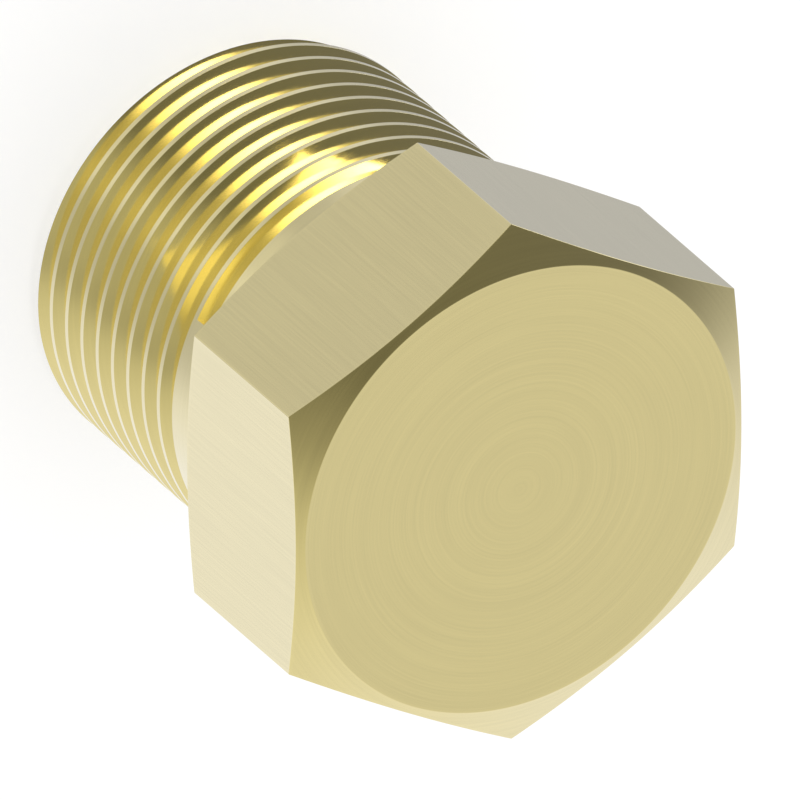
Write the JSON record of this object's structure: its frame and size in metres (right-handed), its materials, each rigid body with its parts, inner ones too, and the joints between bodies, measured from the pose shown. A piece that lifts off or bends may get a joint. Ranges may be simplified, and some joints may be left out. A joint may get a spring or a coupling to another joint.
{
  "type": "hex head pipe plug",
  "caption": "Solid brass pipe plug with a hexagonal wrench head, chamfered at both ends, and a right-hand male pipe thread on a round shank.",
  "frame": {"origin": "centre of the threaded end face, on which the plug stands", "axes": "+Z along the plug's axis from the threaded end to the hexagonal head; +X to the centre of one of the head's flats; +Y to one of its corners"},
  "size_m": [0.0372, 0.043, 0.0426],
  "materials": {
    "brass": "bright machined brass, pale yellow, with fine turning marks on the end faces, chamfers and shank"
  },
  "bodies": {
    "root": {"pipe_plug": "brass"}
  },
  "joints": []
}
